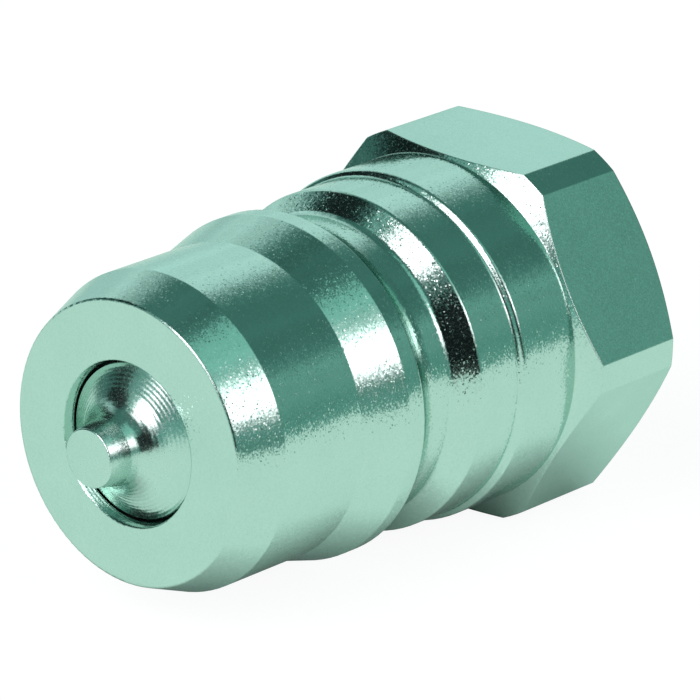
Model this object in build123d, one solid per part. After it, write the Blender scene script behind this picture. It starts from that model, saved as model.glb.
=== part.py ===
from build123d import *
import os
from math import cos, radians, sin, tan

# Quick coupling plug, half inch size, with a spring-closed poppet valve.
# Lengths are millimetres. The plug's axis is X, the nose points to -X and
# the threaded port opens to +X. Z is up, square to the top flat of the hexagon.
# The origin is on the axis where the port's threaded wall begins.

# Nose, sealing barrel and locking shoulder, turned
nose_face_radius = 10.45
nose_cone_angle = 20.0
nose_edge_round = 0.2
barrel_radius = 11.75
barrel_length = 7.95
flare_angle = 15.0
shoulder_height = 1.05
shoulder_length = 1.55

# Locking groove that the socket's balls drop into
groove_depth = 1.48
groove_front_angle = 45.0
groove_rear_angle = 42.0
groove_floor_length = 3.15
groove_front_round = 3.3
groove_rear_round = 0.8

# Rear land, collar and hexagon
land_length = 4.1
collar_step = 0.43
collar_step_angle = 60.0
collar_length = 5.85
collar_foot_round = 0.3
across_flats = 27.0
corner_radius = 15.0
hex_chamfer_angle = 30.0
hex_corner_length = 8.15
rear_face_radius = 12.85

# Nose bore, which narrows from its mouth to the edge of the valve seat
nose_mouth_radius = 6.06
nose_bore_radius = 5.89
nose_bore_length = 0.83
seat_angle = 45.0
chamber_radius = 8.8

# Bore for the valve guide, with the groove of its retaining ring
chamber_length = 18.5
guide_shelf = 0.425
guide_bore_lead = 1.1
ring_groove_depth = 0.55

# Parallel pipe thread of the port: its wall stands at the thread's root
thread_root_radius = 10.4775
port_chamfer = 0.5
port_runout_length = 0.7

# Poppet
tip_radius = 2.14
tip_height = 3.86
neck_angle = 12.0
flank_angle = 62.0
flank_round = 3.15
rim_depth = 0.8
rim_gap = 0.24
rim_round = 0.06
seat_overlap = 1.36
seat_gap = 0.2
head_rim_length = 1.5
boss_length = 1.0
stem_radius = 2.5
stem_end_setback = 2.8
valve_travel = 6.0
stop_clearance = 0.1

# Sealing ring on the poppet
seal_section = 1.5
seal_gap = 0.05
seal_groove_side_clearance = 0.04
seal_groove_floor_clearance = 0.02

# Valve guide: a hub on three arms inside a rim
guide_thickness = 3.0
guide_axial_play = 0.1
guide_clearance = 0.03
guide_rim_wall = 1.2
guide_arm_count = 3
guide_arm_width = 3.0
guide_arm_round = 0.6
stem_clearance = 0.04
hub_wall = 1.66
spring_step_height = 0.4
spring_step_length = 1.0

# Retaining ring
ring_thickness = 1.0
ring_side_play = 0.1
ring_clearance = 0.03
ring_width = 1.9
ring_taper = 0.35
ring_gap_half_angle = 16.0
ring_lug_radius = 1.45
ring_lug_hole_radius = 0.65

# Spring
spring_wire = 1.2
spring_fit = 0.25
spring_active_turns = 3.5
spring_end_turns = 1.0
spring_end_clearance = 0.05

# Roundings of turned edges: where two faces only meet, and where a hand would touch a corner
edge_break = 0.12
edge_round = 0.3


def rise(radius_step, angle):
    """Length along the axis over which a cone of this half angle changes its radius by the step."""
    return radius_step / tan(radians(angle))


# Radii that follow from the sizes above
shoulder_radius = barrel_radius + shoulder_height
groove_radius = shoulder_radius - groove_depth
collar_radius = shoulder_radius + collar_step
guide_bore_radius = chamber_radius + guide_shelf
ring_groove_radius = guide_bore_radius + ring_groove_depth
rim_radius = nose_bore_radius - rim_gap
head_radius = nose_bore_radius + seat_overlap
hub_bore_radius = stem_radius + stem_clearance
hub_radius = hub_bore_radius + hub_wall
spring_step_radius = hub_radius + spring_step_height
spring_mean_radius = spring_step_radius + spring_fit + spring_wire / 2

# Stations of the outer profile, counted from the nose face
barrel_front = rise(barrel_radius - nose_face_radius, nose_cone_angle)
barrel_rear = barrel_front + barrel_length
shoulder_front = barrel_rear + rise(shoulder_height, flare_angle)
shoulder_rear = shoulder_front + shoulder_length
groove_front = shoulder_rear + rise(groove_depth, groove_front_angle)
groove_rear = groove_front + groove_floor_length
land_front = groove_rear + rise(groove_depth, groove_rear_angle)
collar_front = land_front + land_length
collar_crest = collar_front + rise(collar_step, collar_step_angle)
hex_front = collar_front + collar_length
hex_corner_front = hex_front + (corner_radius - collar_radius) * tan(radians(hex_chamfer_angle))
hex_corner_rear = hex_corner_front + hex_corner_length
rear_face = hex_corner_rear + (corner_radius - rear_face_radius) * tan(radians(hex_chamfer_angle))

# Stations of the bore, from the nose face
chamber_front = nose_bore_length + rise(chamber_radius - nose_bore_radius, seat_angle)
guide_shelf_station = chamber_front + chamber_length
guide_front = guide_shelf_station + guide_axial_play
guide_rear = guide_front + guide_thickness
ring_groove_front = guide_rear - ring_side_play
ring_groove_rear = guide_rear + ring_thickness
guide_bore_rear = ring_groove_rear + guide_bore_lead
thread_front = guide_bore_rear + port_runout_length
thread_rear = rear_face - port_chamfer

# Stations of the poppet, valve closed
seat_slant = seat_gap / sin(radians(seat_angle))
cone_front = nose_bore_length - rise(rim_gap, seat_angle) + seat_slant
cone_rear = nose_bore_length + rise(seat_overlap, seat_angle) + seat_slant
head_rear = cone_rear + head_rim_length
boss_rear = head_rear + boss_length
stem_rear = guide_rear - stem_end_setback
hub_front = boss_rear + valve_travel + stop_clearance


def x_of(station):
    """X of a station that is counted from the nose face."""
    return station - thread_rear


def turned(profile):
    """Solid turned about the X axis.

    Args:
        profile: corners as (station, radius) or (station, radius, round at that corner).

    Returns:
        The solid of revolution.
    """
    corners = [(x_of(corner[0]), corner[1]) for corner in profile]
    section = make_face(Polyline(*corners, close=True))
    for corner, given in zip(corners, profile):
        if len(given) == 3:
            vertex = section.vertices().sort_by_distance((*corner, 0))[0]
            section = fillet(vertex, given[2])
    return revolve(section, Axis.X)


def across_axis(station):
    """Plane square to the axis at a station, its own x along Y and its own y along Z."""
    return Plane(origin=(x_of(station), 0, 0), x_dir=(0, 1, 0), z_dir=(1, 0, 0))


def make_plug_body():
    """Body: one turned bar of hexagon steel, bored through, with the port at the rear."""
    outside = [
        (0.0, nose_mouth_radius, edge_break),
        (0.0, nose_face_radius, nose_edge_round),
        (barrel_front, barrel_radius, edge_break),
        (barrel_rear, barrel_radius, edge_break),
        (shoulder_front, shoulder_radius, edge_break),
        (shoulder_rear, shoulder_radius, edge_round),
        (groove_front, groove_radius, groove_front_round),
        (groove_rear, groove_radius, groove_rear_round),
        (land_front, shoulder_radius, edge_round),
        (collar_front, shoulder_radius, collar_foot_round),
        (collar_crest, collar_radius, edge_round),
        (hex_front, collar_radius),
        (hex_corner_front, corner_radius),
        (hex_corner_rear, corner_radius),
        (rear_face, rear_face_radius),
    ]
    bore = [
        (rear_face, thread_root_radius + port_chamfer),
        (thread_rear, thread_root_radius),
        (thread_front, thread_root_radius),
        (guide_bore_rear, guide_bore_radius),
        (ring_groove_rear, guide_bore_radius),
        (ring_groove_rear, ring_groove_radius),
        (ring_groove_front, ring_groove_radius),
        (ring_groove_front, guide_bore_radius),
        (guide_shelf_station, guide_bore_radius),
        (guide_shelf_station, chamber_radius),
        (chamber_front, chamber_radius),
        (nose_bore_length, nose_bore_radius),
    ]
    blank = turned(outside + bore)
    hexagon = RegularPolygon(across_flats / 2, 6, major_radius=False)
    around_flats = across_axis(hex_front) * (Circle(2 * corner_radius) - hexagon)
    return blank - extrude(around_flats, rear_face - hex_front)


def seal_groove_corners():
    """Corners of the groove that holds the sealing ring, square to the poppet's seat cone."""
    middle_station = (cone_front + cone_rear) / 2
    middle_radius = (rim_radius + head_radius) / 2
    along = (cos(radians(seat_angle)), sin(radians(seat_angle)))
    inward = (sin(radians(seat_angle)), -cos(radians(seat_angle)))
    half_width = seal_section / 2 + seal_groove_side_clearance
    depth = seal_gap + seal_section + seal_groove_floor_clearance - seat_gap
    corners = []
    for side, deep in ((-1, 0), (-1, 1), (1, 1), (1, 0)):
        station = middle_station + side * half_width * along[0] + deep * depth * inward[0]
        radius = middle_radius + side * half_width * along[1] + deep * depth * inward[1]
        corners.append((station, radius))
    return corners


def make_poppet():
    """Poppet: pin tip, hollow flared flank, head with the seat cone, boss and guide stem."""
    neck_slope = tan(radians(neck_angle))
    flank_slope = tan(radians(flank_angle))
    neck_run = (rim_radius - tip_radius - flank_slope * (rim_depth + tip_height)) / (neck_slope - flank_slope)
    return turned(
        [
            (-tip_height, 0.0),
            (-tip_height, tip_radius, edge_break),
            (neck_run - tip_height, tip_radius + neck_slope * neck_run, flank_round),
            (rim_depth, rim_radius, rim_round),
            (cone_front, rim_radius),
            *seal_groove_corners(),
            (cone_rear, head_radius),
            (head_rear, head_radius, edge_round),
            (head_rear, spring_step_radius),
            (boss_rear, spring_step_radius, edge_round),
            (boss_rear, stem_radius),
            (stem_rear, stem_radius, edge_round),
            (stem_rear, 0.0),
        ]
    )


def make_poppet_seal():
    """Sealing ring: round rubber section that stands a little proud of the poppet's seat cone."""
    depth = seal_gap + seal_section / 2 - seat_gap
    station = (cone_front + cone_rear) / 2 + depth * sin(radians(seat_angle))
    radius = (rim_radius + head_radius) / 2 - depth * cos(radians(seat_angle))
    section = Pos(x_of(station), radius) * Circle(seal_section / 2)
    return revolve(section, Axis.X)


def make_valve_guide():
    """Guide: rim in the body's bore, arms with flow windows between them, and the stem's hub."""
    rim_outer = guide_bore_radius - guide_clearance
    rim_inner = rim_outer - guide_rim_wall
    arm_middle = (rim_inner + hub_radius) / 2
    arm_length = rim_inner - hub_radius + guide_rim_wall
    spider = Circle(rim_outer) - Circle(rim_inner) + Circle(spring_step_radius)
    for arm in PolarLocations(arm_middle, guide_arm_count, start_angle=90):
        spider += arm * Rectangle(arm_length, guide_arm_width)
    inner_corners = [v for v in spider.vertices() if Vector(v.X, v.Y).length < rim_outer - guide_rim_wall / 2]
    spider = fillet(inner_corners, guide_arm_round)
    guide = across_axis(guide_front) * extrude(spider, guide_thickness)
    guide += turned(
        [
            (hub_front, 0.0),
            (hub_front, hub_radius, edge_round),
            (guide_front - spring_step_length, hub_radius),
            (guide_front - spring_step_length, spring_step_radius, edge_round),
            (guide_rear, spring_step_radius),
            (guide_rear, 0.0),
        ]
    )
    return guide - turned(
        [
            (hub_front, 0.0),
            (hub_front, hub_bore_radius),
            (guide_rear, hub_bore_radius),
            (guide_rear, 0.0),
        ]
    )


def make_retaining_ring():
    """Internal retaining ring: an open ring that tapers to two lugs with holes for the pliers."""
    outer = ring_groove_radius - ring_clearance
    hole = Pos(0, ring_taper) * Circle(outer - ring_width)
    half_gap = radians(ring_gap_half_angle)
    reach = 2 * outer
    gap = make_face(
        Polyline(
            (0, 0),
            (reach * sin(half_gap), reach * cos(half_gap)),
            (-reach * sin(half_gap), reach * cos(half_gap)),
            close=True,
        )
    )
    ring = Circle(outer) - hole - gap
    lug_angle = half_gap + ring_lug_radius / outer
    lug_centre_radius = outer - ring_lug_radius
    for side in (-1, 1):
        lug = Pos(side * lug_centre_radius * sin(lug_angle), lug_centre_radius * cos(lug_angle))
        ring += lug * Circle(ring_lug_radius)
        ring -= lug * Circle(ring_lug_hole_radius)
    return across_axis(guide_rear) * extrude(ring, ring_thickness)


def make_valve_spring():
    """Compression spring between poppet head and guide, with closed ends ground flat."""
    front = head_rear + spring_end_clearance
    length = guide_front - spring_end_clearance - front
    closed = spring_end_turns * spring_wire
    active = length - 2 * closed
    pitches = (
        (spring_wire, closed, spring_end_turns),
        (active / spring_active_turns, active, spring_active_turns),
        (spring_wire, closed, spring_end_turns),
    )
    path = []
    height = 0.0
    turns = 0.0
    for pitch, rise_along, turn_count in pitches:
        coil = Helix(pitch, rise_along, spring_mean_radius)
        path.append(Pos(0, 0, height) * Rot(0, 0, 360 * turns) * coil)
        height += rise_along
        turns += turn_count
    wire = Wire(path)
    section = Plane(origin=wire @ 0, z_dir=wire % 0) * Circle(spring_wire / 2)
    coils = sweep(section, path=wire)
    ground = extrude(Circle(spring_mean_radius + spring_wire), length)
    return across_axis(front) * (coils & ground)


os.makedirs("parts", exist_ok=True)
export_step(make_plug_body(), "parts/plug_body.step")
export_step(make_poppet(), "parts/poppet.step")
export_step(make_poppet_seal(), "parts/poppet_seal.step")
export_step(make_valve_guide(), "parts/valve_guide.step")
export_step(make_retaining_ring(), "parts/retaining_ring.step")
export_step(make_valve_spring(), "parts/valve_spring.step")
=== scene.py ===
"""Looks of the quick coupling plug: finishes, port thread, coil spring, studio and camera."""

from __future__ import annotations

import logging
import math
from abc import ABC, abstractmethod
from dataclasses import dataclass, field
from enum import Enum
from typing import Any

import bmesh
import bpy
from mathutils import Matrix, Vector


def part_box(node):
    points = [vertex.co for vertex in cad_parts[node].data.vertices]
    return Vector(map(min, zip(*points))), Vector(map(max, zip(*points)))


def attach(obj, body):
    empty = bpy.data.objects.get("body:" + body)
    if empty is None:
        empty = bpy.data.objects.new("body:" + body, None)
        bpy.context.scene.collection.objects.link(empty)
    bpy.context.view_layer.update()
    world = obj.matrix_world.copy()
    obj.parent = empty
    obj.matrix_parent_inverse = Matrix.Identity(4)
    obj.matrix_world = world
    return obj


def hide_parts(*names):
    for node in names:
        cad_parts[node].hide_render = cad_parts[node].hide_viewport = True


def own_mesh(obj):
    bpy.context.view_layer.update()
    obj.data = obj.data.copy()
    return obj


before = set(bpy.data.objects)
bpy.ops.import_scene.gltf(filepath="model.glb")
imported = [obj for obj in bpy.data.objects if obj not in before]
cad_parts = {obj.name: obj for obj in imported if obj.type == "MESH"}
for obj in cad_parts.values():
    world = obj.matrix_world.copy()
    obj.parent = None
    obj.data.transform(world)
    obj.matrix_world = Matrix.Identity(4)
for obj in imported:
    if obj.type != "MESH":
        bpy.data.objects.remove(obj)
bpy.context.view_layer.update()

Tree = bpy.types.NodeTree
Socket = bpy.types.NodeSocket
Colour = tuple[float, float, float, float]

MM = 0.001
# Nearly all values of a fractal noise texture lie between these two.
NOISE_SPAN = (0.3, 0.7)
# The middle of a random colour, which is taken off to make a random direction of it.
MIDDLE_GREY = (0.5, 0.5, 0.5)
# A Mix node has sockets of one name for each kind of data, so they go by number.
MIX_FACTOR = 0
NUMBER_A, NUMBER_B, MIXED_NUMBER = 2, 3, 0
COLOUR_A, COLOUR_B, MIXED_COLOUR = 6, 7, 2

log = logging.getLogger("quick_coupling_plug")


class Body(Enum):
    """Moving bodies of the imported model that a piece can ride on."""

    PLUG = "plug"
    VALVE = "valve"


class Slot(Enum):
    """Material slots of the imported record."""

    PLATED = "zinc_plated_steel"
    VALVE = "turned_valve_steel"
    SEAL = "seal_rubber"
    SPRING = "spring_steel"
    GUIDE = "guide_steel"
    RING = "ring_steel"


def linear(hex_colour: str) -> Colour:
    """Turns an sRGB hex colour to linear light.

    Args:
        hex_colour: the colour as "#RRGGBB".

    Returns:
        Linear red, green, blue and an alpha of 1.
    """
    shares = [int(hex_colour[i : i + 2], 16) / 255 for i in (1, 3, 5)]
    red, green, blue = (s / 12.92 if s <= 0.04045 else ((s + 0.055) / 1.055) ** 2.4 for s in shares)
    return red, green, blue, 1.0


def scale_for(grain_mm: float) -> float:
    """Gives the scale of a texture whose grain has this size, where coordinates are in metres."""
    return 1 / (grain_mm * MM)


def smooth_step(share: float) -> float:
    """Eases a share from 0 to 1, level at both ends."""
    return share * share * (3 - 2 * share)


def soft_floor(value: float, width: float) -> float:
    """Keeps a value above 0 and turns one below to 0, with the corner rounded over a width."""
    return width * math.log1p(math.exp(value / width))


def add_node(
    tree: Tree,
    kind: str,
    settings: dict[str | int, Any] | None = None,
    links: dict[str | int, Socket] | None = None,
) -> bpy.types.Node:
    """Adds a node, sets it up and links its inputs.

    Args:
        tree: the node tree that gets the node.
        kind: the node's type.
        settings: properties by name, or values of inputs by name or number.
        links: source sockets for inputs by name or number.

    Returns:
        The new node.
    """
    node = tree.nodes.new(kind)
    values = dict(settings or {})
    # Properties come first, because some of them decide which inputs the node shows.
    for key in list(values):
        if isinstance(key, str) and hasattr(node, key):
            setattr(node, key, values.pop(key))
    for key, value in values.items():
        node.inputs[key].default_value = value
    for key, source in (links or {}).items():
        tree.links.new(source, node.inputs[key])
    return node


def new_material(name: str) -> tuple[bpy.types.Material, Tree]:
    """Makes an empty material.

    Args:
        name: the material's name.

    Returns:
        The material and its cleared node tree.
    """
    material = bpy.data.materials.new(name)
    material.use_nodes = True
    material.node_tree.nodes.clear()
    return material, material.node_tree


@dataclass(frozen=True)
class Finish(ABC):
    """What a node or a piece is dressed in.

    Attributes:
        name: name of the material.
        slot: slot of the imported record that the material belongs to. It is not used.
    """

    name: str
    slot: Slot

    @abstractmethod
    def shader(self, tree: Tree, place: Socket) -> Socket:
        """Builds the nodes of the surface.

        Args:
            tree: the material's node tree.
            place: object coordinates.

        Returns:
            The socket of the finished shader.
        """

    def make(self) -> bpy.types.Material:
        """Builds the material, whose patterns stay fixed to the object."""
        material, tree = new_material(self.name)
        place = add_node(tree, "ShaderNodeTexCoord").outputs["Object"]
        surface = self.shader(tree, place)
        add_node(tree, "ShaderNodeOutputMaterial", links={"Surface": surface})
        return material


@dataclass(frozen=True)
class PlatedSteel(Finish):
    """Bright zinc plating on steel that was turned on a lathe.

    The lathe's feed leaves fine rings round the axis, in arcs that come and go, and the zinc lies over
    them as fine crystals. Most lie nearly flat and keep reflections crisp. A few are rough and lean their
    own way, catch light from beside and sparkle near a highlight. Each has a shade of its own, so the
    metal is finely mottled. The passivated zinc is a little green, and duller where it is seen at a flat
    angle. The flats of a hexagon keep the smooth skin of the drawn bar, and a face that was cut with a
    pointed tool shows even turning marks.

    Real crystals are about 0.02 mm across, too fine to show, so they are drawn coarser.

    Attributes:
        light: lightest colour of the zinc.
        shade: darkest colour of the zinc.
        roughness: roughness of the flat crystals.
        roughness_change: how much that roughness varies over the clouds in the plating.
        crystal_mm: size of a crystal as it is drawn.
        crystal_tilt: how far a flat crystal leans.
        rough_crystal_tilt: how much further a rough crystal leans.
        rough_crystal_roughness: how much roughness a rough crystal adds.
        crystal_rarity: power that makes rough crystals rare, the higher the fewer.
        crystal_mottle: share of the tint that changes with each crystal; the clouds decide the rest.
        flat_crystal_share: how much of the rough crystals is left on a hexagon's flats.
        half_flats_mm: half the width of the hexagon across its flats, or 0 where there is none.
        flats_margin_mm: depth under a flat down to which a point counts as on it.
        cloud_mm: size of the clouds in the plating.
        ring_pitch_mm: spacing of the lathe's rings.
        ring_height_mm: height of the rings along the axis, and as much again for those along the radius.
        ring_arc_mm: length of the arcs in which rings show.
        ring_arc_span: values of the arcs' noise between which the rings fade in.
        mark_pitch_mm: spacing of the turning marks.
        mark_height_mm: height of the turning marks over their middle, or 0 where there are none.
        edge_round_mm: radius that makes edges look eased, or 0 where they stay sharp.
        anisotropy: how much the turned surface draws reflections out.
        edge_tint: tint of what the metal mirrors at a flat angle.
    """

    light: str = "#CEE5DD"
    shade: str = "#BCD6CC"
    roughness: float = 0.12
    roughness_change: float = 0.04
    crystal_mm: float = 0.1
    crystal_tilt: float = 0.04
    rough_crystal_tilt: float = 0.21
    rough_crystal_roughness: float = 0.1
    crystal_rarity: float = 3.5
    crystal_mottle: float = 0.35
    flat_crystal_share: float = 0.2
    half_flats_mm: float = 0.0
    flats_margin_mm: float = 0.01
    cloud_mm: float = 4.0
    ring_pitch_mm: float = 0.25
    ring_height_mm: float = 0.0012
    ring_arc_mm: float = 1.5
    ring_arc_span: tuple[float, float] = (0.35, 0.65)
    mark_pitch_mm: float = 0.28
    mark_height_mm: float = 0.0
    edge_round_mm: float = 0.0
    anisotropy: float = 0.3
    edge_tint: str = "#DFEAE7"

    def flats(self, tree: Tree, place: Socket) -> Socket:
        """Finds the flats of the hexagon.

        Args:
            tree: the material's node tree.
            place: object coordinates.

        Returns:
            A socket that is 1 on the flats and 0 elsewhere.
        """
        reaches = []
        # A hexagon has three pairs of flats, 60 degrees apart, and the first pair lies square to Z.
        for side in range(3):
            angle = math.radians(90 + 60 * side)
            along = add_node(
                tree,
                "ShaderNodeVectorMath",
                {"operation": "DOT_PRODUCT", 1: (0.0, math.cos(angle), math.sin(angle))},
                {0: place},
            ).outputs["Value"]
            reach = add_node(tree, "ShaderNodeMath", {"operation": "ABSOLUTE"}, {0: along}).outputs[0]
            reaches.append(reach)
        widest = reaches[0]
        for reach in reaches[1:]:
            links = {0: widest, 1: reach}
            widest = add_node(tree, "ShaderNodeMath", {"operation": "MAXIMUM"}, links).outputs[0]
        limit = (self.half_flats_mm - self.flats_margin_mm) * MM
        return add_node(
            tree, "ShaderNodeMath", {"operation": "GREATER_THAN", 1: limit}, {0: widest}
        ).outputs[0]

    def crystals(self, tree: Tree, place: Socket) -> tuple[Socket, Socket, Socket]:
        """Draws the zinc's crystals, each with a lot of its own.

        Args:
            tree: the material's node tree.
            place: object coordinates.

        Returns:
            Sockets of each crystal's lean, of how rough it is from 0 to 1, and of its lot from 0 to 1.
        """
        cells = add_node(
            tree, "ShaderNodeTexVoronoi", {"Scale": scale_for(self.crystal_mm)}, {"Vector": place}
        ).outputs["Color"]
        lot = add_node(tree, "ShaderNodeTexWhiteNoise", links={"Vector": cells}).outputs["Value"]
        rough = add_node(
            tree, "ShaderNodeMath", {"operation": "POWER", 1: self.crystal_rarity}, {0: lot}
        ).outputs[0]
        if self.half_flats_mm:
            share = add_node(
                tree,
                "ShaderNodeMapRange",
                {"To Min": 1.0, "To Max": self.flat_crystal_share},
                {"Value": self.flats(tree, place)},
            ).outputs[0]
            links = {0: rough, 1: share}
            rough = add_node(tree, "ShaderNodeMath", {"operation": "MULTIPLY"}, links).outputs[0]
        tilt = add_node(
            tree,
            "ShaderNodeMath",
            {"operation": "MULTIPLY_ADD", 1: self.rough_crystal_tilt, 2: self.crystal_tilt},
            {0: rough},
        ).outputs[0]
        way = add_node(
            tree, "ShaderNodeVectorMath", {"operation": "SUBTRACT", 1: MIDDLE_GREY}, {0: cells}
        ).outputs[0]
        lean = add_node(
            tree, "ShaderNodeVectorMath", {"operation": "SCALE"}, {0: way, "Scale": tilt}
        ).outputs[0]
        return lean, rough, lot

    def turned(self, tree: Tree, place: Socket) -> tuple[Socket, Socket]:
        """Measures a place the way a lathe does.

        Args:
            tree: the material's node tree.
            place: object coordinates.

        Returns:
            Sockets of the distance along the plug's axis and of the distance from it.
        """
        axes = add_node(tree, "ShaderNodeSeparateXYZ", links={0: place}).outputs
        across = add_node(tree, "ShaderNodeCombineXYZ", links={"Y": axes["Y"], "Z": axes["Z"]})
        radius = add_node(
            tree, "ShaderNodeVectorMath", {"operation": "LENGTH"}, {0: across.outputs[0]}
        ).outputs["Value"]
        return axes["X"], radius

    def rings(self, tree: Tree, place: Socket, along: Socket, radius: Socket) -> Socket:
        """Draws the lathe's rings, which change along the axis on barrels and along the radius on faces.

        Args:
            tree: the material's node tree.
            place: object coordinates.
            along: distance along the axis.
            radius: distance from the axis.

        Returns:
            The socket of the height, from 0 to 2.
        """
        settings = {
            "noise_dimensions": "1D",
            "Scale": scale_for(self.ring_pitch_mm),
            "Detail": 3.0,
            "Roughness": 0.6,
        }
        on_barrels, on_faces = (
            add_node(tree, "ShaderNodeTexNoise", settings, {"W": source}).outputs["Fac"]
            for source in (along, radius)
        )
        both = add_node(
            tree, "ShaderNodeMath", {"operation": "ADD"}, {0: on_barrels, 1: on_faces}
        ).outputs[0]
        arcs = add_node(
            tree,
            "ShaderNodeTexNoise",
            {"Scale": scale_for(self.ring_arc_mm), "Detail": 1.0},
            {"Vector": place},
        ).outputs["Fac"]
        faint, full = self.ring_arc_span
        depth = add_node(
            tree, "ShaderNodeMapRange", {"From Min": faint, "From Max": full}, {"Value": arcs}
        ).outputs[0]
        return add_node(
            tree, "ShaderNodeMath", {"operation": "MULTIPLY"}, {0: both, 1: depth}
        ).outputs[0]

    def marks(self, tree: Tree, radius: Socket) -> Socket:
        """Draws the even grooves that a pointed tool leaves on a face, one for each turn of the work.

        Args:
            tree: the material's node tree.
            radius: distance from the axis.

        Returns:
            The socket of the height, from -1 to 1.
        """
        turn = 2 * math.pi * scale_for(self.mark_pitch_mm)
        phase = add_node(
            tree, "ShaderNodeMath", {"operation": "MULTIPLY", 1: turn}, {0: radius}
        ).outputs[0]
        return add_node(tree, "ShaderNodeMath", {"operation": "SINE"}, {0: phase}).outputs[0]

    def relief(self, tree: Tree, place: Socket, lean: Socket) -> Socket:
        """Builds the fine shape of the surface: eased edges, rings, turning marks and leaning crystals.

        Args:
            tree: the material's node tree.
            place: object coordinates.
            lean: how each crystal leans.

        Returns:
            The socket of the normal.
        """
        along, radius = self.turned(tree, place)
        links = {"Height": self.rings(tree, place, along, radius)}
        if self.edge_round_mm:
            eased = add_node(tree, "ShaderNodeBevel", {"samples": 4, "Radius": self.edge_round_mm * MM})
            links["Normal"] = eased.outputs[0]
        ringed = {"Distance": self.ring_height_mm * MM}
        normal = add_node(tree, "ShaderNodeBump", ringed, links).outputs[0]
        if self.mark_height_mm:
            links = {"Height": self.marks(tree, radius), "Normal": normal}
            marked = {"Distance": self.mark_height_mm * MM}
            normal = add_node(tree, "ShaderNodeBump", marked, links).outputs[0]
        links = {0: normal, 1: lean}
        leaning = add_node(tree, "ShaderNodeVectorMath", {"operation": "ADD"}, links).outputs[0]
        return add_node(
            tree, "ShaderNodeVectorMath", {"operation": "NORMALIZE"}, {0: leaning}
        ).outputs[0]

    def tint(self, tree: Tree, clouds: Socket, lot: Socket) -> Socket:
        """Builds the zinc's colour, which varies over the clouds and with each crystal.

        Args:
            tree: the material's node tree.
            clouds: the clouds in the plating.
            lot: the crystals' lots.

        Returns:
            The socket of the colour.
        """
        mottled = add_node(
            tree,
            "ShaderNodeMix",
            {"data_type": "FLOAT", MIX_FACTOR: self.crystal_mottle},
            {NUMBER_A: clouds, NUMBER_B: lot},
        ).outputs[MIXED_NUMBER]
        return add_node(
            tree,
            "ShaderNodeMix",
            {"data_type": "RGBA", COLOUR_A: linear(self.shade), COLOUR_B: linear(self.light)},
            {MIX_FACTOR: mottled},
        ).outputs[MIXED_COLOUR]

    def gloss(self, tree: Tree, clouds: Socket, rough: Socket) -> Socket:
        """Builds the roughness, which varies over the clouds and is higher on rough crystals.

        Args:
            tree: the material's node tree.
            clouds: the clouds in the plating.
            rough: how rough each crystal is.

        Returns:
            The socket of the roughness.
        """
        least, most = NOISE_SPAN
        flat = add_node(
            tree,
            "ShaderNodeMapRange",
            {
                "From Min": least,
                "From Max": most,
                "To Min": self.roughness - self.roughness_change / 2,
                "To Max": self.roughness + self.roughness_change / 2,
            },
            {"Value": clouds},
        ).outputs[0]
        return add_node(
            tree,
            "ShaderNodeMath",
            {"operation": "MULTIPLY_ADD", 1: self.rough_crystal_roughness},
            {0: rough, 2: flat},
        ).outputs[0]

    def shader(self, tree: Tree, place: Socket) -> Socket:
        """Builds the nodes of the plated metal.

        Args:
            tree: the material's node tree.
            place: object coordinates.

        Returns:
            The socket of the finished shader.
        """
        clouds = add_node(
            tree,
            "ShaderNodeTexNoise",
            {"Scale": scale_for(self.cloud_mm), "Detail": 4.0, "Roughness": 0.55},
            {"Vector": place},
        ).outputs["Fac"]
        lean, rough, lot = self.crystals(tree, place)
        round_axis = add_node(tree, "ShaderNodeTangent", {"direction_type": "RADIAL", "axis": "X"})
        return add_node(
            tree,
            "ShaderNodeBsdfPrincipled",
            {
                "Metallic": 1.0,
                "Anisotropic": self.anisotropy,
                "Specular Tint": linear(self.edge_tint),
            },
            {
                "Base Color": self.tint(tree, clouds, lot),
                "Roughness": self.gloss(tree, clouds, rough),
                "Normal": self.relief(tree, place, lean),
                "Tangent": round_axis.outputs[0],
            },
        ).outputs[0]


@dataclass(frozen=True)
class MouldedRubber(Finish):
    """Moulded nitrile rubber: matt black with a fine grain, so it shows no more than a soft, weak gleam.

    Attributes:
        colour: colour of the rubber.
        roughness: roughness of its skin.
        ior: its index of refraction.
        grain_mm: size of the grain.
        grain_height_mm: height of the grain.
    """

    name: str = "moulded_nitrile_rubber"
    slot: Slot = Slot.SEAL
    colour: str = "#15181A"
    roughness: float = 0.55
    ior: float = 1.52
    grain_mm: float = 0.12
    grain_height_mm: float = 0.004

    def shader(self, tree: Tree, place: Socket) -> Socket:
        """Builds the nodes of the rubber.

        Args:
            tree: the material's node tree.
            place: object coordinates.

        Returns:
            The socket of the finished shader.
        """
        grain = add_node(
            tree,
            "ShaderNodeTexNoise",
            {"Scale": scale_for(self.grain_mm), "Detail": 3.0},
            {"Vector": place},
        ).outputs["Fac"]
        raised = {"Distance": self.grain_height_mm * MM}
        normal = add_node(tree, "ShaderNodeBump", raised, {"Height": grain}).outputs[0]
        return add_node(
            tree,
            "ShaderNodeBsdfPrincipled",
            {"Base Color": linear(self.colour), "Roughness": self.roughness, "IOR": self.ior},
            {"Normal": normal},
        ).outputs[0]


def new_piece(name: str, mesh: bpy.types.Mesh, body: Body, finish: Finish) -> bpy.types.Object:
    """Puts a mesh into the scene as a smooth piece of the plug.

    Args:
        name: the piece's name.
        mesh: its mesh, in metres in the part's frame.
        body: the body that carries it.
        finish: the finish that it is dressed in.

    Returns:
        The object.
    """
    for face in mesh.polygons:
        face.use_smooth = True
    piece = bpy.data.objects.new(name, mesh)
    bpy.context.scene.collection.objects.link(piece)
    mesh.materials.append(finish.make())
    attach(piece, body.value)
    log.info("%s: %d faces on %s", name, len(mesh.polygons), body.value)
    return piece


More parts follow.
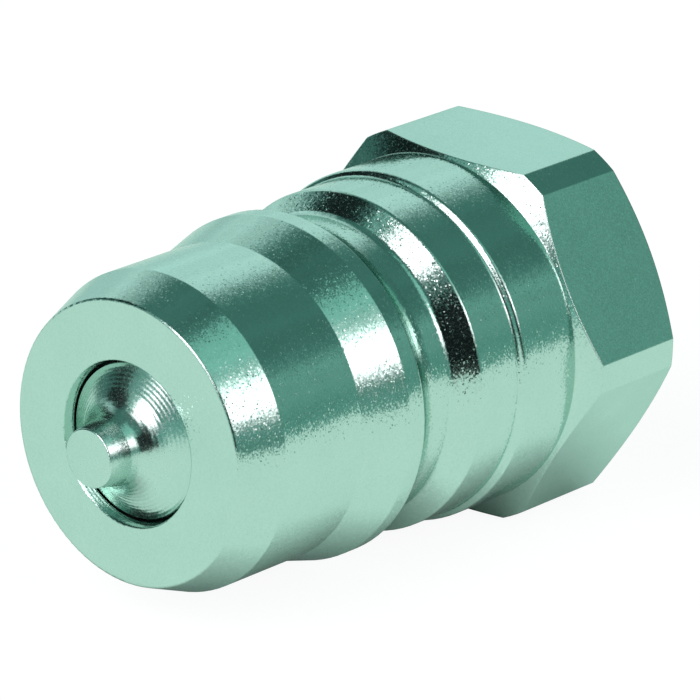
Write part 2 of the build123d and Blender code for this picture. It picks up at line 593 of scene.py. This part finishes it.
def grid_mesh(name: str, rows: list[list[Vector]], caps: bool = False) -> bpy.types.Mesh:
    """Joins rows of points into a sheet or, where each row is a closed ring, into a tube with ends.

    Args:
        name: the mesh's name.
        rows: points row by row, in metres, all rows as long as the first.
        caps: whether each row closes on itself and the two end rows get a face.

    Returns:
        The mesh, with its faces turned outward where it is closed.
    """
    shape = bmesh.new()
    grid = [[shape.verts.new(point) for point in row] for row in rows]
    count = len(rows[0])
    steps = count if caps else count - 1
    for first, second in zip(grid, grid[1:]):
        for i in range(steps):
            j = (i + 1) % count
            shape.faces.new((first[i], first[j], second[j], second[i]))
    if caps:
        shape.faces.new(list(reversed(grid[0])))
        shape.faces.new(grid[-1])
        bmesh.ops.recalc_face_normals(shape, faces=shape.faces)
    mesh = bpy.data.meshes.new(name)
    shape.to_mesh(mesh)
    shape.free()
    return mesh


@dataclass
class PortThread:
    """Crests of the port's parallel pipe thread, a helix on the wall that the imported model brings.

    The form is the 55 degree one with rounded crests and roots. Its crests are cut back by the mouth's
    chamfer and fade out over about the last turn at the inner end.

    Known fault: this helix winds to the left, and a real pipe thread winds to the right. The minus before
    the last coordinate in row_at makes it so.

    Attributes:
        finish: what the thread is dressed in.
        pitch_mm: pitch, at 14 turns to the inch.
        root_radius_mm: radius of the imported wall, which is the thread's root.
        mouth_x_mm: place of the port's mouth, where the thread starts.
        inner_x_mm: place of the thread's inner end.
        runout_mm: length over which the crests fade out at the inner end.
        wall_lift_mm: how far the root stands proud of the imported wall, so that the two don't mix.
        flank_angle: angle of a flank off the plane across the axis, degrees.
        depth_pitches: depth of the full form, in pitches.
        middle_half_width: half the width of the crest at half the depth, in pitches.
        rounding_pitches: how softly crest and root are rounded, in pitches.
        steps_per_turn: points round one turn.
        points_across: points across one pitch.
    """

    finish: Finish
    pitch_mm: float = 25.4 / 14
    root_radius_mm: float = 10.4775
    mouth_x_mm: float = 0.0
    inner_x_mm: float = -15.0
    runout_mm: float = 1.6
    wall_lift_mm: float = 0.008
    flank_angle: float = 27.5
    depth_pitches: float = 0.640327
    middle_half_width: float = 0.25
    rounding_pitches: float = 0.11
    steps_per_turn: int = 96
    points_across: int = 17

    def height_at(self, share: float) -> float:
        """Works out the height of the thread over its root.

        Args:
            share: place across one pitch, from -0.5 to 0.5, with the crest at 0.

        Returns:
            The height in millimetres.
        """
        full = self.depth_pitches * self.pitch_mm
        flank = math.tan(math.radians(self.flank_angle))
        straight = full / 2 + (self.middle_half_width - abs(share)) * self.pitch_mm / flank
        rounding = self.rounding_pitches * self.pitch_mm
        return full - soft_floor(full - soft_floor(straight, rounding), rounding)

    def row_at(self, angle: float) -> list[Vector]:
        """Works out the points across the thread at one angle of its winding.

        Args:
            angle: how far the helix has turned since its start at the inner end, radians.

        Returns:
            The points across one pitch, in metres.
        """
        middle = self.inner_x_mm - self.pitch_mm / 2 + self.pitch_mm * angle / (2 * math.pi)
        first = max(middle - self.pitch_mm / 2, self.inner_x_mm)
        last = min(middle + self.pitch_mm / 2, self.mouth_x_mm)
        root = self.height_at(0.5)
        row = []
        for i in range(self.points_across):
            x = first + (last - first) * i / (self.points_across - 1)
            height = self.height_at((x - middle) / self.pitch_mm) - root
            height *= smooth_step(min(1.0, (x - self.inner_x_mm) / self.runout_mm))
            height = min(height, self.mouth_x_mm - x)
            radius = self.root_radius_mm - self.wall_lift_mm - height
            row.append(Vector((x, radius * math.cos(angle), -radius * math.sin(angle))) * MM)
        return row

    def build(self) -> bpy.types.Object:
        """Builds the thread as one strip that is wound along the port."""
        turns = (self.mouth_x_mm - self.inner_x_mm) / self.pitch_mm + 1
        steps = round(turns * self.steps_per_turn)
        rows = [self.row_at(2 * math.pi * step / self.steps_per_turn) for step in range(steps + 1)]
        mesh = grid_mesh("port_thread", rows)
        return new_piece("port_thread", mesh, Body.PLUG, self.finish)


@dataclass
class ValveSpring:
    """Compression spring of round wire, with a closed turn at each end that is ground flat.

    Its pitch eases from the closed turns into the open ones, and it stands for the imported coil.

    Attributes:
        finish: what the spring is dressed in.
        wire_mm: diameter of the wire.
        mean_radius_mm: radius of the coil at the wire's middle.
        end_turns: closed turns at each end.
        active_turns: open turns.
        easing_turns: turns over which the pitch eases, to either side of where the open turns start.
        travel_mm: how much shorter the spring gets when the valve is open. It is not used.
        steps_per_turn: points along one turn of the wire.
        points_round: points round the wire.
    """

    finish: Finish
    wire_mm: float = 1.2
    mean_radius_mm: float = 5.45
    end_turns: float = 1.0
    active_turns: float = 3.5
    easing_turns: float = 0.25
    travel_mm: float = 6.0
    steps_per_turn: int = 60
    points_round: int = 20

    def places(self, length: float) -> list[float]:
        """Works out how far along the spring the wire's middle is at each step of its turns.

        Args:
            length: the spring's length, in millimetres.

        Returns:
            The distances, in millimetres, from 0 at the front end to the whole length at the rear.
        """
        closed = self.end_turns * self.wire_mm
        open_pitch = (length - 2 * closed) / self.active_turns
        turns = self.active_turns + 2 * self.end_turns
        places = [0.0]
        for step in range(round(turns * self.steps_per_turn)):
            turn = (step + 0.5) / self.steps_per_turn
            into = min(turn, turns - turn) - self.end_turns
            ease = smooth_step(min(1.0, max(0.0, 0.5 + into / (2 * self.easing_turns))))
            pitch = self.wire_mm + (open_pitch - self.wire_mm) * ease
            places.append(places[-1] + pitch / self.steps_per_turn)
        stretch = length / places[-1]
        return [place * stretch for place in places]

    def build(self) -> bpy.types.Object:
        """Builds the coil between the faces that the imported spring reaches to."""
        low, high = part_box("valve_spring")
        front, rear = low.x / MM, high.x / MM
        length = rear - front
        wire_radius = self.wire_mm / 2
        rows = []
        for step, place in enumerate(self.places(length)):
            angle = 2 * math.pi * step / self.steps_per_turn
            row = []
            for i in range(self.points_round):
                around = 2 * math.pi * i / self.points_round
                out = self.mean_radius_mm + wire_radius * math.cos(around)
                # The ends are ground flat, so no point of the wire stands past them.
                x = min(max(front + place + wire_radius * math.sin(around), front), rear)
                row.append(Vector((x, out * math.cos(angle), out * math.sin(angle))) * MM)
            rows.append(row)
        mesh = grid_mesh("coil_spring", rows, caps=True)
        spring = new_piece("coil_spring", mesh, Body.PLUG, self.finish)
        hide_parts("valve_spring")
        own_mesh(spring)
        return spring


class PatchKind(Enum):
    """What a patch of the studio's surroundings is."""

    SOFTBOX = "softbox"
    FLAG = "flag"
    WALL = "wall"


@dataclass(frozen=True)
class Patch:
    """A field of the surroundings between two azimuths and two elevations, with soft edges.

    Attributes:
        kind: softbox, flag or wall.
        azimuth: first and last direction, from +X toward +Y, degrees.
        elevation: lowest and highest direction over the horizon, degrees.
        light: linear radiance in red, green and blue.
        side_fade: angle over which the left and right edges fade, degrees.
        rise_fade: angle over which the lower and upper edges fade, degrees.
    """

    kind: PatchKind
    azimuth: tuple[float, float]
    elevation: tuple[float, float]
    light: tuple[float, float, float]
    side_fade: float = 4.0
    rise_fade: float = 4.0


@dataclass
class Studio:
    """Pale floor and the soft, tinted surroundings that the metal mirrors.

    The softboxes make the highlights, the flags the black stripes, and the dim walls the tones between.
    A patch lies over those before it.

    Attributes:
        floor_z_mm: height of the floor, on which the hexagon's lower flat lies.
        floor_half_width_mm: half the width of the floor.
        floor_colour: colour of the floor where it is seen directly.
        mirrored_colour: colour of the floor in reflections.
        seen_glow: strength of the floor's own glow where it is seen directly.
        seen_albedo: how much light the floor throws back where it is seen directly.
        mirrored_glow: strength of its glow in reflections.
        mirrored_albedo: how much light it throws back in reflections.
        mirrored_reach_mm: distances from the part's origin between which the mirrored floor ends.
        shadow_reach_mm: how near things dim the mirrored floor's glow, which paints a shadow under the
            plug.
        backdrop: colour of the surroundings where they are seen directly.
        uneven_scale: how fine the surroundings' unevenness is; the higher, the finer.
        unevenness: how much the surroundings' light varies, as a share of it.
        ceiling: linear radiance of the surroundings where no patch lies.
        patches: the softboxes, flags and walls.
    """

    floor_z_mm: float = -13.5
    floor_half_width_mm: float = 4000.0
    floor_colour: str = "#FFFFFF"
    mirrored_colour: str = "#D0E7DE"
    seen_glow: float = 0.92
    seen_albedo: float = 0.16
    mirrored_glow: float = 1.0
    mirrored_albedo: float = 0.22
    mirrored_reach_mm: tuple[float, float] = (220.0, 320.0)
    shadow_reach_mm: float = 7.0
    backdrop: str = "#F4F6F6"
    uneven_scale: float = 5.0
    unevenness: float = 0.32
    ceiling: tuple[float, float, float] = (0.066, 0.175, 0.153)
    patches: tuple[Patch, ...] = (
        Patch(PatchKind.WALL, (-94.0, -28.0), (-12.0, 14.0), (0.12, 0.31, 0.26), 20.0, 12.0),
        Patch(PatchKind.WALL, (-210.0, -150.0), (-12.0, 12.0), (0.12, 0.34, 0.29), 12.0, 12.0),
        Patch(PatchKind.WALL, (-110.0, -46.0), (30.0, 84.0), (0.26, 0.58, 0.5), 26.0, 34.0),
        Patch(PatchKind.WALL, (20.0, 90.0), (-25.0, 44.0), (0.62, 0.84, 0.8), 16.0, 26.0),
        Patch(PatchKind.WALL, (-54.0, -30.0), (11.0, 27.0), (0.18, 0.41, 0.35), 8.0, 8.0),
        Patch(PatchKind.WALL, (138.0, 166.0), (14.0, 62.0), (0.2, 0.44, 0.38), 10.0, 12.0),
        Patch(PatchKind.FLAG, (-141.0, -97.0), (-14.0, 42.0), (0.004, 0.008, 0.008), 6.0, 6.0),
        Patch(PatchKind.FLAG, (97.0, 137.0), (12.0, 56.0), (0.006, 0.012, 0.012), 8.0, 8.0),
        Patch(PatchKind.WALL, (-93.0, -55.0), (36.0, 50.0), (0.55, 0.8, 0.74), 10.0, 16.0),
        Patch(PatchKind.SOFTBOX, (-90.0, -58.5), (24.5, 34.0), (6.0, 5.2, 5.5), 8.0, 28.0),
        Patch(PatchKind.SOFTBOX, (163.0, 205.0), (24.0, 60.0), (5.0, 4.3, 4.6), 18.0, 16.0),
    )

    def make_board(self) -> bpy.types.Material:
        """Builds the floor's material: matt white board that glows, so that it stays pale under the plug.

        Reflections show it as a tinted board instead. There, ambient occlusion dims its glow close to the
        plug, a painted shadow under the plug, and it ends softly at some distance, where the surroundings
        take over.
        """
        material, tree = new_material("matt_white_board")
        seen = add_node(tree, "ShaderNodeLightPath").outputs["Is Camera Ray"]
        albedo, glow = (
            add_node(
                tree,
                "ShaderNodeMath",
                {"operation": "MULTIPLY_ADD", 1: shown - mirrored, 2: mirrored},
                {0: seen},
            ).outputs[0]
            for shown, mirrored in (
                (self.seen_albedo, self.mirrored_albedo),
                (self.seen_glow, self.mirrored_glow),
            )
        )
        colour = add_node(
            tree,
            "ShaderNodeMix",
            {
                "data_type": "RGBA",
                COLOUR_A: linear(self.mirrored_colour),
                COLOUR_B: linear(self.floor_colour),
            },
            {MIX_FACTOR: seen},
        ).outputs[MIXED_COLOUR]
        cover = add_node(
            tree, "ShaderNodeVectorMath", {"operation": "SCALE"}, {0: colour, "Scale": albedo}
        ).outputs[0]
        matt = add_node(tree, "ShaderNodeBsdfDiffuse", links={"Color": cover}).outputs[0]
        # Ambient occlusion dims the mirrored floor's glow near the plug: a painted shadow under the plug
        # in reflections.
        painted_shadow_ao = add_node(
            tree, "ShaderNodeAmbientOcclusion", {"samples": 4, "Distance": self.shadow_reach_mm * MM}
        ).outputs["AO"]
        painted_contact_shadow = add_node(
            tree,
            "ShaderNodeMix",
            {"data_type": "FLOAT", NUMBER_B: 1.0},
            {MIX_FACTOR: seen, NUMBER_A: painted_shadow_ao},
        ).outputs[MIXED_NUMBER]
        strength = add_node(
            tree, "ShaderNodeMath", {"operation": "MULTIPLY"}, {0: glow, 1: painted_contact_shadow}
        ).outputs[0]
        links = {"Color": colour, "Strength": strength}
        glowing = add_node(tree, "ShaderNodeEmission", links=links).outputs[0]
        both = add_node(tree, "ShaderNodeAddShader", links={0: matt, 1: glowing}).outputs[0]
        place = add_node(tree, "ShaderNodeTexCoord").outputs["Object"]
        away = add_node(
            tree, "ShaderNodeVectorMath", {"operation": "LENGTH"}, {0: place}
        ).outputs["Value"]
        unseen = add_node(
            tree, "ShaderNodeMath", {"operation": "SUBTRACT", 0: 1.0}, {1: seen}
        ).outputs[0]
        near, far = self.mirrored_reach_mm
        gone = add_node(
            tree,
            "ShaderNodeMapRange",
            {"From Min": near * MM, "From Max": far * MM},
            {"Value": away, "To Max": unseen},
        ).outputs[0]
        clear = add_node(tree, "ShaderNodeBsdfTransparent").outputs[0]
        board = add_node(tree, "ShaderNodeMixShader", links={0: gone, 1: both, 2: clear}).outputs[0]
        add_node(tree, "ShaderNodeOutputMaterial", links={"Surface": board})
        return material

    def make_floor(self) -> bpy.types.Object:
        """Builds the floor, a plain sheet under the plug."""
        half = self.floor_half_width_mm * MM
        height = self.floor_z_mm * MM
        corners = [(x * half, y * half, height) for x, y in ((-1, -1), (1, -1), (1, 1), (-1, 1))]
        mesh = bpy.data.meshes.new("floor")
        mesh.from_pydata(corners, [], [(0, 1, 2, 3)])
        mesh.materials.append(self.make_board())
        floor = bpy.data.objects.new("floor", mesh)
        bpy.context.scene.collection.objects.link(floor)
        log.info("floor: at %g mm", self.floor_z_mm)
        return floor

    def make_surroundings(self) -> None:
        """Builds the world: a pale backdrop to the eye, ceiling and patches to light and reflections."""
        world = bpy.data.worlds.new("soft_studio")
        bpy.context.scene.world = world
        world.use_nodes = True
        tree = world.node_tree
        tree.nodes.clear()
        sight = add_node(tree, "ShaderNodeTexCoord").outputs["Generated"]
        height = add_node(tree, "ShaderNodeSeparateXYZ", links={0: sight}).outputs["Z"]
        elevation = add_node(tree, "ShaderNodeMath", {"operation": "ARCSINE"}, {0: height}).outputs[0]
        light = add_node(tree, "ShaderNodeRGB").outputs[0]
        light.default_value = (*self.ceiling, 1.0)
        for patch in self.patches:
            light = self.lay_patch(tree, sight, elevation, light, patch)
            log.info("%s: at %g degrees", patch.kind.value, sum(patch.azimuth) / 2)
        light = self.make_uneven(tree, sight, light)
        seen = add_node(tree, "ShaderNodeLightPath").outputs["Is Camera Ray"]
        shown = add_node(
            tree,
            "ShaderNodeMix",
            {"data_type": "RGBA", COLOUR_B: linear(self.backdrop)},
            {MIX_FACTOR: seen, COLOUR_A: light},
        ).outputs[MIXED_COLOUR]
        background = add_node(tree, "ShaderNodeBackground", links={"Color": shown}).outputs[0]
        add_node(tree, "ShaderNodeOutputWorld", links={"Surface": background})

    def lay_patch(
        self, tree: Tree, sight: Socket, elevation: Socket, below: Socket, patch: Patch
    ) -> Socket:
        """Lays one patch over the surroundings.

        Args:
            tree: the world's node tree.
            sight: the direction looked in.
            elevation: its height over the horizon, radians.
            below: the light of what is already there.
            patch: the patch.

        Returns:
            The socket of the light with the patch on it.
        """
        middle = math.radians(sum(patch.azimuth) / 2)
        leftward = (-math.sin(middle), math.cos(middle), 0.0)
        ahead = (math.cos(middle), math.sin(middle), 0.0)
        left, front = (
            add_node(
                tree, "ShaderNodeVectorMath", {"operation": "DOT_PRODUCT", 1: way}, {0: sight}
            ).outputs["Value"]
            for way in (leftward, ahead)
        )
        turn = add_node(tree, "ShaderNodeMath", {"operation": "ARCTAN2"}, {0: left, 1: front}).outputs[0]
        shares = []
        for angle, centre, (first, last), fade in (
            (turn, 0.0, patch.azimuth, patch.side_fade),
            (elevation, sum(patch.elevation) / 2, patch.elevation, patch.rise_fade),
        ):
            off = add_node(
                tree, "ShaderNodeMath", {"operation": "SUBTRACT", 1: math.radians(centre)}, {0: angle}
            ).outputs[0]
            away = add_node(tree, "ShaderNodeMath", {"operation": "ABSOLUTE"}, {0: off}).outputs[0]
            share = add_node(
                tree,
                "ShaderNodeMapRange",
                {
                    "interpolation_type": "SMOOTHSTEP",
                    "From Min": math.radians((last - first + fade) / 2),
                    "From Max": math.radians((last - first - fade) / 2),
                },
                {"Value": away},
            ).outputs[0]
            shares.append(share)
        links = {0: shares[0], 1: shares[1]}
        inside = add_node(tree, "ShaderNodeMath", {"operation": "MULTIPLY"}, links).outputs[0]
        return add_node(
            tree,
            "ShaderNodeMix",
            {"data_type": "RGBA", COLOUR_B: (*patch.light, 1.0)},
            {MIX_FACTOR: inside, COLOUR_A: below},
        ).outputs[MIXED_COLOUR]

    def make_uneven(self, tree: Tree, sight: Socket, light: Socket) -> Socket:
        """Makes the surroundings a little uneven, as those of a real room are.

        Args:
            tree: the world's node tree.
            sight: the direction looked in.
            light: the light of the surroundings.

        Returns:
            The socket of the uneven light.
        """
        uneven = add_node(
            tree,
            "ShaderNodeTexNoise",
            {"Scale": self.uneven_scale, "Detail": 4.0, "Roughness": 0.6},
            {"Vector": sight},
        ).outputs["Fac"]
        least, most = NOISE_SPAN
        gain = add_node(
            tree,
            "ShaderNodeMapRange",
            {
                "From Min": least,
                "From Max": most,
                "To Min": 1 - self.unevenness,
                "To Max": 1 + self.unevenness,
            },
            {"Value": uneven},
        ).outputs[0]
        return add_node(
            tree, "ShaderNodeVectorMath", {"operation": "SCALE"}, {0: light, "Scale": gain}
        ).outputs[0]


@dataclass
class ProductCamera:
    """Long lens on the plug's nose, which looks from a little above and from the plug's right side.

    Attributes:
        place_mm: place of the camera in the part's frame.
        azimuth: direction that it looks in, from +X toward +Y, degrees.
        elevation: that direction's angle over the horizon, degrees.
        roll: how far it is turned about its own line of sight, degrees.
        lens_mm: focal length.
        sensor_mm: width of the sensor.
        clip_m: nearest and furthest distance that it sees, in metres.
    """

    place_mm: tuple[float, float, float] = (-314.0, -250.0, 152.2)
    azimuth: float = 40.338
    elevation: float = -21.405
    roll: float = 2.728
    lens_mm: float = 294.22
    sensor_mm: float = 36.0
    clip_m: tuple[float, float] = (0.01, 20.0)

    def make(self) -> bpy.types.Object:
        """Builds the camera and makes it the scene's."""
        data = bpy.data.cameras.new("camera")
        data.lens = self.lens_mm
        data.sensor_width = self.sensor_mm
        data.clip_start, data.clip_end = self.clip_m
        camera = bpy.data.objects.new("camera", data)
        bpy.context.scene.collection.objects.link(camera)
        azimuth, elevation, roll = (math.radians(a) for a in (self.azimuth, self.elevation, self.roll))
        ahead = Vector(
            (
                math.cos(elevation) * math.cos(azimuth),
                math.cos(elevation) * math.sin(azimuth),
                math.sin(elevation),
            )
        )
        level = Vector((math.sin(azimuth), -math.cos(azimuth), 0.0))
        upright = level.cross(ahead)
        right = level * math.cos(roll) + upright * math.sin(roll)
        up = upright * math.cos(roll) - level * math.sin(roll)
        turn = Matrix((right, up, -ahead)).transposed().to_4x4()
        camera.matrix_world = Matrix.Translation(Vector(self.place_mm) * MM) @ turn
        bpy.context.scene.camera = camera
        log.info("camera: %g mm lens", self.lens_mm)
        return camera


def node_finishes() -> dict[str, Finish]:
    """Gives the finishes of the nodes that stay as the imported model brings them, by the nodes' names."""
    return {
        # Bright and crisp on barrels and cones, smooth on the hexagon, with light lines on eased edges.
        "plug_body": PlatedSteel(
            "zinc_plated_turned_steel", Slot.PLATED, half_flats_mm=13.5, edge_round_mm=0.15
        ),
        # A little duller than the body, with a pointed tool's marks and hardly any sparkle.
        "poppet": PlatedSteel(
            "turned_poppet_steel",
            Slot.VALVE,
            roughness=0.18,
            rough_crystal_tilt=0.05,
            ring_height_mm=0.002,
            mark_height_mm=0.0024,
        ),
        "poppet_seal": MouldedRubber(),
        # Pressed and plated: as bright as the body, but greyer.
        "valve_guide": PlatedSteel(
            "pressed_guide_steel", Slot.GUIDE, light="#C4CFCB", shade="#B2BDB9"
        ),
        # Phosphated, so dark grey. Phosphate is crystalline too, so it is drawn with the same crystals.
        "retaining_ring": PlatedSteel(
            "phosphated_ring_steel", Slot.RING, light="#6A7270", shade="#565D5B"
        ),
    }


@dataclass
class PlugLooks:
    """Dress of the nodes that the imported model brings.

    Attributes:
        finishes: the finish of each node, by the node's name.
    """

    finishes: dict[str, Finish] = field(default_factory=node_finishes)

    def dress(self) -> None:
        """Gives each node its material."""
        for name, finish in self.finishes.items():
            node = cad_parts[name]
            material = finish.make()
            for holder in node.material_slots:
                holder.material = material
            log.info("%s: dressed in %s", name, material.name)


def main() -> None:
    """Dresses the plug, adds its thread and its spring, and sets up the studio and the camera."""
    logging.basicConfig(level=logging.INFO, format="%(message)s")
    PlugLooks().dress()
    PortThread(PlatedSteel("zinc_plated_thread", Slot.PLATED)).build()
    # Drawn wire is greyer than the plated body.
    ValveSpring(PlatedSteel("drawn_spring_wire", Slot.SPRING, light="#ACB5B2", shade="#989F9D")).build()
    studio = Studio()
    studio.make_floor()
    studio.make_surroundings()
    ProductCamera().make()
    # The Standard view shows the hex colours as they are written.
    bpy.context.scene.view_settings.view_transform = "Standard"


if __name__ == "__main__":
    main()
